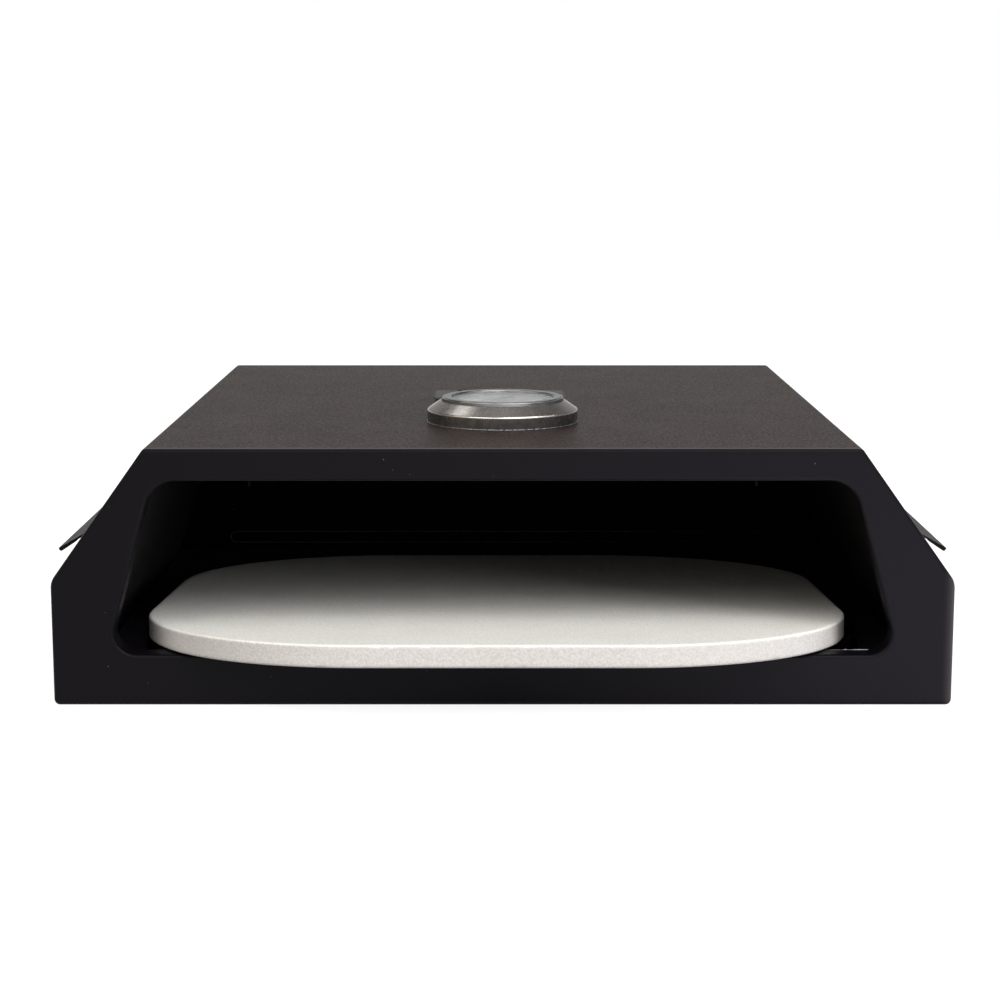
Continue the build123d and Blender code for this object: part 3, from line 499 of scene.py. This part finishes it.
def make_world():
    """Soft white studio, brightest in front of the oven, with a low white backdrop all round."""
    world = bpy.data.worlds.new("studio")
    scene.world = world
    world.use_nodes = True
    tree = world.node_tree
    tree.nodes.clear()
    direction = split(tree, add(tree, "ShaderNodeTexCoord").outputs["Generated"])
    height = direction["Z"]
    behind = remapped(tree, direction["Y"], -FRONT_TO_BACK, FRONT_TO_BACK)
    across = profile(tree, remapped(tree, direction["X"], -1.0, 1.0), FRONT_ACROSS)
    low = remapped(tree, height, ACROSS_FADE, ACROSS_TOP, 1.0, 0.0)
    ahead = math_node(tree, "MULTIPLY", profile(tree, height, FRONT_LIGHT), blended(tree, low, 1.0, across))
    aside = math_node(tree, "ABSOLUTE", direction["X"])
    fall = remapped(tree, height, BACK_FALL_FROM, BACK_FALL_TO, 0.0, BACK_FALL)
    left_over = math_node(tree, "ADD", math_node(tree, "MULTIPLY", aside, fall), 1.0)
    back = math_node(tree, "MULTIPLY", math_node(tree, "MAXIMUM", left_over, BACK_LEAST), BACK_LIGHT)
    light = blended(tree, behind, ahead, back)
    backdrop = remapped(tree, height, BACKDROP_TOP, BACKDROP_FADE, 1.0, 0.0)
    shown = math_node(tree, "MULTIPLY", background_share(tree), backdrop)
    strength = blended(tree, shown, light, 1.0)
    rightward = remapped(tree, direction["X"], -TINT_REACH, TINT_REACH)
    tint = mixed(tree, rightward, FRONT_LEFT_TINT, FRONT_RIGHT_TINT)
    untinted = math_node(tree, "MAXIMUM", behind, shown)
    light_colour = mixed(tree, untinted, tint, WHITE)
    background = add(tree, "ShaderNodeBackground", {"Color": light_colour, "Strength": strength})
    add(tree, "ShaderNodeOutputWorld", {"Surface": background.outputs[0]})


def make_floor():
    """White floor that glows to white in the picture and still takes the oven's shadow."""
    bpy.ops.mesh.primitive_plane_add(size=FLOOR_SIDE, location=(0, 0, 0))
    floor = bpy.context.object
    floor.name = "floor"
    material, tree, shader = new_material("floor_white", Roughness=0.9, Specular_IOR_Level=0.0)
    shader.inputs["Base Color"].default_value = FLOOR_GREY
    shader.inputs["Emission Color"].default_value = WHITE
    glow = math_node(tree, "MULTIPLY", background_share(tree), FLOOR_GLOW)
    tree.links.new(glow, shader.inputs["Emission Strength"])
    floor.data.materials.append(material)


def make_card():
    """Reflector card that lies on the floor in front of the oven and shows in its gloss alone."""
    mesh = bpy.data.meshes.new("card")
    (left, front), (right, back) = CARD_LOW, CARD_HIGH
    corners = ((left, front), (right, front), (right, back), (left, back))
    mesh.from_pydata([(x, y, CARD_LIFT) for x, y in corners], [], [(0, 1, 2, 3)])
    card = bpy.data.objects.new("card", mesh)
    scene.collection.objects.link(card)
    for use in ("camera", "diffuse", "transmission", "volume_scatter", "shadow"):
        setattr(card, "visible_" + use, False)
    material, tree, shader = new_material("card_white", Roughness=1.0, Specular_IOR_Level=0.0)
    shader.inputs["Base Color"].default_value = BLACK
    spot = split(tree, place(tree))
    rightward = remapped(tree, spot["X"], -CARD_TILT_REACH, CARD_TILT_REACH)
    tree.links.new(mixed(tree, rightward, WHITE, CARD_RIGHT_TINT), shader.inputs["Emission Color"])
    level = remapped(tree, rightward, 0.0, 1.0, CARD_GLOW_LEFT, CARD_GLOW_RIGHT)
    # Painted shadow of the stone's overhang: the card dimmed close to the middle of the oven's front
    middle = remapped(tree, math_node(tree, "ABSOLUTE", spot["X"]), 0.0, SHADE_REACH, 1.0, 0.0)
    near = remapped(tree, spot["Y"], FRONT_Y - SHADE_REACH, FRONT_Y, 0.0, 1.0)
    shade = math_node(tree, "MULTIPLY", math_node(tree, "MULTIPLY", middle, near), -CARD_SHADE)
    level = math_node(tree, "MULTIPLY", level, math_node(tree, "ADD", shade, 1.0))
    tree.links.new(level, shader.inputs["Emission Strength"])
    mesh.materials.append(material)


def make_lamp(name, place_at, target, size, power, in_gloss=True):
    """Rectangular soft lamp that looks at a point, seen in reflections or not."""
    data = bpy.data.lights.new(name, "AREA")
    data.shape = "RECTANGLE"
    data.size, data.size_y = size
    data.energy = power
    lamp = bpy.data.objects.new(name, data)
    lamp.location = place_at
    lamp.rotation_euler = (Vector(target) - Vector(place_at)).to_track_quat("-Z", "Y").to_euler()
    lamp.visible_glossy = in_gloss
    scene.collection.objects.link(lamp)


def make_camera():
    """Camera at the photograph's place."""
    data = bpy.data.cameras.new("camera")
    data.sensor_width = SENSOR
    data.lens = SENSOR * FOCAL_PIXELS / PHOTO_SIDE
    camera = bpy.data.objects.new("camera", data)
    camera.location = (CAMERA_SIDE, FRONT_Y - CAMERA_DISTANCE, CAMERA_HEIGHT)
    camera.rotation_euler = (math.pi / 2 - CAMERA_PITCH, 0, 0)
    scene.collection.objects.link(camera)
    scene.camera = camera


def new_piece(name, mesh, material, body):
    """Object from a bmesh, with its material, riding on a body."""
    data = bpy.data.meshes.new(name)
    mesh.to_mesh(data)
    mesh.free()
    data.materials.append(material)
    piece = bpy.data.objects.new(name, data)
    scene.collection.objects.link(piece)
    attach(piece, body)
    return piece


def slab_outline():
    """Points of the stone's outline about its middle, each with its outward direction."""
    half, front, back = STONE_WIDTH / 2, -STONE_LENGTH / 2, STONE_LENGTH / 2
    corners = (
        (half - STONE_FRONT_RADIUS, front + STONE_FRONT_RADIUS, STONE_FRONT_RADIUS, -90),
        (half - STONE_BACK_RADIUS, back - STONE_BACK_RADIUS, STONE_BACK_RADIUS, 0),
        (STONE_BACK_RADIUS - half, back - STONE_BACK_RADIUS, STONE_BACK_RADIUS, 90),
        (STONE_FRONT_RADIUS - half, front + STONE_FRONT_RADIUS, STONE_FRONT_RADIUS, 180),
    )
    line = []
    for x, y, radius, start in corners:
        steps = round(radius * math.pi / 2 / STONE_STEP)
        for step in range(steps + 1):
            angle = math.radians(start + 90 * step / steps)
            away = Vector((math.cos(angle), math.sin(angle)))
            line.append((Vector((x, y)) + away * radius, away))
    whole = []
    for (point, away), (after, _) in zip(line, line[1:] + line[:1]):
        pieces = max(1, round((after - point).length / STONE_STEP))
        whole += [(point.lerp(after, share / pieces), away) for share in range(pieces)]
    return whole


def worn_stone(material):
    """Stone slab with the arrises rubbed and chipped."""
    half = STONE_THICKNESS / 2
    upper = [(0.0, 0.2 * half, 0.0), (0.0, 0.6 * half, 0.0)]
    for degrees in (0, 22.5, 45, 67.5, 90):
        angle = math.radians(degrees)
        inset = STONE_ARRIS * (1 - math.cos(angle))
        height = half - STONE_ARRIS * (1 - math.sin(angle))
        upper.append((inset, height, math.sin(2 * angle)))
    upper.append((3 * STONE_ARRIS, half, 0.0))
    section = [(inset, -height, wear) for inset, height, wear in reversed(upper)] + upper
    across = Vector((1, 0, 0))
    along = Vector((0, math.cos(STONE_SLOPE), -math.sin(STONE_SLOPE)))
    rise = Vector((0, math.sin(STONE_SLOPE), math.cos(STONE_SLOPE)))
    mesh = bmesh.new()
    outline = slab_outline()
    rings = []
    for inset, height, wear in section:
        ring = []
        for point, away in outline:
            spot = Vector((point.x, point.y, height))
            rubbed = RUB_DEPTH * (1 + field.noise(spot / RUB_GRAIN))
            rough = field.noise(spot / CHIP_GRAIN) + 0.6 * field.noise(spot / CHIP_FINE_GRAIN)
            chip = max(0.0, rough - CHIP_LIMIT)
            cut = wear * (rubbed + min(chip * CHIP_STEEPNESS, 1.0) * CHIP_DEPTH)
            lower = math.copysign(cut * WEAR_SHARE, -height)
            flat = point - away * (inset + cut * WEAR_SHARE)
            place_at = STONE_MIDDLE + across * flat.x + along * flat.y + rise * (height + lower)
            ring.append(mesh.verts.new(place_at))
        rings.append(ring)
    for low, high in zip(rings, rings[1:]):
        for index, vert in enumerate(low):
            after = (index + 1) % len(low)
            mesh.faces.new((vert, low[after], high[after], high[index])).smooth = True
    mesh.faces.new(list(reversed(rings[0])))
    mesh.faces.new(rings[-1])
    stone = new_piece("worn_stone", mesh, material, "stone")
    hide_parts("pizza_stone")


def bare_edge(name, points, material, unevenness=0.9, centre=None):
    """Uneven round line along points that lie in a plane square to Y, or that go round a centre."""
    mesh = bmesh.new()
    turns = [2 * math.pi * side / BARE_EDGE_SIDES for side in range(BARE_EDGE_SIDES)]
    rings = []
    for index, point in enumerate(points):
        after = points[min(index + 1, len(points) - 1)]
        before = points[max(index - 1, 0)]
        along = (after - before).normalized()
        across = Vector((0, 1, 0))
        if centre:
            across = Vector((point.x - centre[0], point.y - centre[1], 0)).normalized()
        up = along.cross(across)
        ends = min(1.0, 4 * index / len(points), 4 * (len(points) - 1 - index) / len(points))
        rubbed = 1.1 - 0.5 * unevenness + unevenness * field.noise(point / BARE_EDGE_GRAIN)
        radius = BARE_EDGE_RADIUS * (BARE_EDGE_TIP + (1 - BARE_EDGE_TIP) * ends) * rubbed
        spokes = [(across * math.cos(turn) + up * math.sin(turn)) * radius for turn in turns]
        rings.append([mesh.verts.new(point + spoke) for spoke in spokes])
    for ring, after in zip(rings, rings[1:]):
        for side in range(BARE_EDGE_SIDES):
            other = (side + 1) % BARE_EDGE_SIDES
            mesh.faces.new((ring[side], ring[other], after[other], after[side])).smooth = True
    mesh.faces.new(list(reversed(rings[0])))
    mesh.faces.new(rings[-1])
    bmesh.ops.recalc_face_normals(mesh, faces=mesh.faces)
    new_piece(name, mesh, material, "oven_body")


def lip_corner_point(side, degrees):
    """Point of the lip's rear edge on a lower corner of the mouth, by its angle from straight down."""
    angle = math.radians(degrees)
    x = MOUTH_HALF - MOUTH_CORNER + MOUTH_CORNER * math.sin(angle)
    z = MOUTH_BOTTOM + MOUTH_CORNER * (1 - math.cos(angle))
    return Vector((side * x, FRONT_Y + LIP_DEPTH - BARE_EDGE_RADIUS, z))


def bare_edges(material):
    """The two places where the lip's rear edge shines."""
    right = [lip_corner_point(1, 0) for _ in range(BARE_EDGE_STEPS)]
    for index, point in enumerate(right):
        point.x = BARE_EDGE_START + (point.x - BARE_EDGE_START) * index / BARE_EDGE_STEPS
    right += [lip_corner_point(1, degrees) for degrees in range(0, 40, 4)]
    left = [lip_corner_point(-1, degrees) for degrees in range(12, 45, 3)]
    bare_edge("lip_bare_edge_right", right, material)
    bare_edge("lip_bare_edge_left", left, material)


def skirt_foot(material):
    """Rubbed foot of the thermometer's skirt, where it stands on the roof."""
    radius = (CASE_HIGH.x - CASE_LOW.x) / 2 - FOOT_SEAT
    points = []
    for step in range(FOOT_STEPS + 1):
        angle = math.radians(90 + 360 * step / FOOT_STEPS)
        x = DIAL_X + radius * math.cos(angle)
        y = DIAL_Y + radius * math.sin(angle)
        points.append(Vector((x, y, ROOF_Z + FOOT_SEAT)))
    bare_edge("skirt_foot", points, material, FOOT_UNEVENNESS, (DIAL_X, DIAL_Y))


def bead_highlight_line(material):
    """Painted highlight: a pale line on the rounded edge of the long bead pressed into the back wall."""
    radius = BEAD_HEIGHT / 2
    straight = BEAD_HALF - radius
    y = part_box("liner_back_wall")[0].y
    points = []
    for side, start in ((1, -90), (-1, 90)):
        for degrees in range(0, 181, 15):
            angle = math.radians(start + degrees)
            x = side * straight + radius * math.cos(angle)
            points.append(Vector((x, y, BEAD_MIDDLE + radius * math.sin(angle))))
        steps = round(2 * straight / BEAD_STEP)
        for step in range(1, steps):
            x = side * straight * (1 - 2 * step / steps)
            points.append(Vector((x, y, BEAD_MIDDLE + side * radius)))
    bare_edge("bead_highlight_line", points + points[:1], material, BEAD_UNEVENNESS)


def band(mesh, inner, outer, start, sweep):
    """Adds a flat printed arc to the dial's mesh, between two radii."""
    steps = max(2, round(abs(sweep) / 3))
    low = DIAL_HIGH.z
    high = low + PRINT_SHEET
    loops = []
    for step in range(steps + 1):
        angle = math.radians(start + sweep * step / steps)
        loop = []
        for radius, z in ((inner, low), (outer, low), (outer, high), (inner, high)):
            x = DIAL_X + radius * math.cos(angle)
            y = DIAL_Y + radius * math.sin(angle)
            loop.append(mesh.verts.new((x, y, z)))
        loops.append(loop)
    for before, after in zip(loops, loops[1:]):
        for side in range(4):
            other = (side + 1) % 4
            mesh.faces.new((before[side], after[side], after[other], before[other]))
    mesh.faces.new(loops[0])
    mesh.faces.new(list(reversed(loops[-1])))
    bmesh.ops.recalc_face_normals(mesh, faces=mesh.faces)


def lettering(mesh, words, size, x, y):
    """Adds upright characters to the dial's mesh, centred on a point."""
    curve = bpy.data.curves.new("words", "FONT")
    curve.body = words
    curve.size = size
    curve.offset = LETTER_WEIGHT * size
    curve.extrude = PRINT_SHEET / 2
    curve.resolution_u = 3
    curve.align_x = "CENTER"
    curve.align_y = "CENTER"
    model = bpy.data.objects.new("words", curve)
    letters = bpy.data.meshes.new_from_object(model)
    start = len(mesh.verts)
    mesh.from_mesh(letters)
    mesh.verts.ensure_lookup_table()
    for vert in mesh.verts[start:]:
        vert.co += Vector((DIAL_X + x, DIAL_Y + y, DIAL_HIGH.z + PRINT_SHEET / 2))
    bpy.data.objects.remove(model)
    bpy.data.curves.remove(curve)
    bpy.data.meshes.remove(letters)


def dial_print():
    """Scale, plain numbers and rings printed on the dial."""
    cold = bmesh.new()
    band(cold, SCALE_RADIUS - BAND_WIDTH, SCALE_RADIUS, SCALE_START, -SCALE_SWEEP)
    new_piece("dial_cold_band", cold, enamel("print_blue", colour(150, 192, 220)), "oven_body")
    hot = bmesh.new()
    band(hot, SCALE_RADIUS - BAND_WIDTH, SCALE_RADIUS, RED_ARC_START, RED_ARC_SWEEP)
    lettering(hot, "\u00b0C", UNIT_SIZE, 0, -UNIT_RADIUS)
    new_piece("dial_hot_band", hot, enamel("print_red", colour(196, 58, 48)), "oven_body")
    rings = bmesh.new()
    for radius in (INNER_RING, OUTER_RING):
        for start in (0, 180):
            band(rings, radius - TICK_WIDTH / 2, radius + TICK_WIDTH / 2, start, 180)
    new_piece("dial_rings", rings, enamel("print_grey", colour(130, 132, 134)), "oven_body")
    scale = bmesh.new()
    spread = math.degrees(TICK_WIDTH / SCALE_RADIUS)
    outer = SCALE_RADIUS - TICK_LENGTH
    for step in range(2 * SCALE_STEPS + 1):
        angle = SCALE_START - SCALE_SWEEP * step / (2 * SCALE_STEPS)
        length = TICK_LENGTH if step % 2 == 0 else SHORT_TICK
        band(scale, outer - length, outer, angle - spread / 2, spread)
    for step in range(0, SCALE_STEPS + 1, 2):
        angle = math.radians(SCALE_START - SCALE_SWEEP * step / SCALE_STEPS)
        x, y = NUMBER_RADIUS * math.cos(angle), NUMBER_RADIUS * math.sin(angle)
        lettering(scale, str(NUMBER_STEP * step), NUMBER_SIZE, x, y)
    new_piece("dial_scale", scale, enamel("print_black", colour(40, 40, 42)), "oven_body")


def smooth_nodes():
    """Smooth shading, which the CAD faces' separate points keep crisp along the sheets' edges."""
    for node in nodes.values():
        for polygon in node.data.polygons:
            polygon.use_smooth = True


scene.view_settings.view_transform = "Standard"
make_camera()
make_world()
make_floor()
make_card()
make_lamp("key", KEY_PLACE, OVEN_MIDDLE, KEY_SIZE, KEY_POWER)
make_lamp("side", SIDE_PLACE, OVEN_MIDDLE, SIDE_SIZE, SIDE_POWER, in_gloss=False)
make_lamp("fill", FILL_PLACE, OVEN_MIDDLE, FILL_SIZE, FILL_POWER)
make_lamp("dial", DIAL_LAMP_PLACE, DIAL_FOOT, DIAL_LAMP_SIZE, DIAL_LAMP_POWER, in_gloss=False)
make_lamp("top", TOP_PLACE, OVEN_ROOF, TOP_SIZE, TOP_POWER)

textured = {"grain": TEXTURE_GRAIN, "depth": TEXTURE_DEPTH}
coat = powder_coat("textured_coat", colour(26, 18, 15), colour(47, 37, 32), 0.092, rough=0.4, **textured)
handle_coat = powder_coat(
    "handle_coat", colour(14, 10, 9), colour(26, 20, 18), 0.035, rough=0.42, **textured
)
front_coat = powder_coat(
    "front_coat",
    colour(5, 3, 5),
    colour(8, 6, 10),
    0.09,
    rough=0.42,
    grain=0.6 * MM,
    depth=0.012 * MM,
    # Pale rim tone as painted light, dark lip tone as painted shade
    turned=(colour(70, 65, 67), colour(7, 6, 9)),
)
# Painted light: a lighter copy of the chamber's black coat on the walls and the roof brace
lit_chamber_coat = powder_coat("chamber_black", colour(36, 34, 34), colour(45, 43, 43), 0.15)
# Painted light: a lighter copy of the black coat on the floor tray
lit_floor_coat = powder_coat("floor_black_painted_light", colour(56, 49, 58), colour(66, 58, 68), 0.15)
# Painted shade: a darker copy of the black coat on the back wall and the stone brackets
shaded_back_coat = powder_coat("back_black_painted_shade", colour(3, 2, 3), colour(6, 4, 5), 0.04)
# Painted highlight along the edges of the back wall's bead
bead_highlight_coat = powder_coat("bead_painted_highlight", colour(62, 51, 51), colour(78, 65, 63), 0.08)
vent_coat = powder_coat(
    "vent_coat", colour(60, 57, 56), colour(70, 67, 66), 0.25, rough=0.45, grain=TEXTURE_GRAIN
)
stone_finish = cordierite()
steel = brushed_steel("stainless", (0.45, 0.44, 0.44, 1.0), 0.16)
# Painted shade on the case's upright skirt
case_steel = brushed_steel("case_steel", (0.6, 0.555, 0.52, 1.0), 0.25, mottle=0.5, upright_shade_level=0.26)
bezel_steel = brushed_steel("bezel_steel", (0.275, 0.27, 0.265, 1.0), 0.2, mottle=0.15)
zinc = plain_metal("zinc_steel", (0.55, 0.55, 0.56, 1.0), 0.35, 0.8 * MM)
# Painted shade: zinc rivets made nearly black in the mouth's lip and on the chamber's back wall
shade_darkened_zinc = plain_metal("shade_darkened_zinc", (0.005, 0.005, 0.005, 1.0), 0.5, 0.5 * MM)
vent_rivet_steel = plain_metal("vent_rivet_steel", (0.05, 0.05, 0.05, 1.0), 0.4, 0.5 * MM)
bare_steel = plain_metal("bare_edge", (0.2, 0.21, 0.27, 1.0), 0.35, 0.6 * MM)
rubbed_steel = plain_metal("rubbed_steel", (0.28, 0.275, 0.29, 1.0), 0.4, 0.6 * MM)
brass = plain_metal("bush_brass", (0.75, 0.58, 0.28, 1.0), 0.3, 0.5 * MM)

dress(coat, "outer_shell", "rear_panel", "rear_panel_rivets")
dress(handle_coat, "right_handle", "left_handle", "right_handle_rivets", "left_handle_rivets")
dress(front_coat, "front_panel")
dress(lit_chamber_coat, "inner_liner", "roof_brace")
dress(lit_floor_coat, "floor_tray")
dress(shaded_back_coat, "liner_back_wall", "right_stone_bracket", "left_stone_bracket")
dress(vent_coat, "vent_cover", "vent_spacers")
dress(vent_rivet_steel, "vent_rivets")
dress(stone_finish, "pizza_stone")
dress(case_steel, "thermometer_case")
dress(bezel_steel, "thermometer_bezel")
dress(steel, "thermometer_cup", "probe_stem", "bimetal_coil", "needle_shaft")
dress(zinc, "spacer_sleeve", "stem_washer", "stem_nut")
dress(shade_darkened_zinc, "mouth_lip_rivets", "liner_back_rivets")
dress(brass, "stem_bush")
dress(lens_glass(), "thermometer_lens")
dress(enamel("dial_white", colour(248, 247, 240)), "thermometer_dial")
dress(enamel("pointer_black", colour(18, 18, 18)), "needle")
smooth_nodes()
worn_stone(stone_finish)
bare_edges(bare_steel)
bead_highlight_line(bead_highlight_coat)
skirt_foot(rubbed_steel)
dial_print()
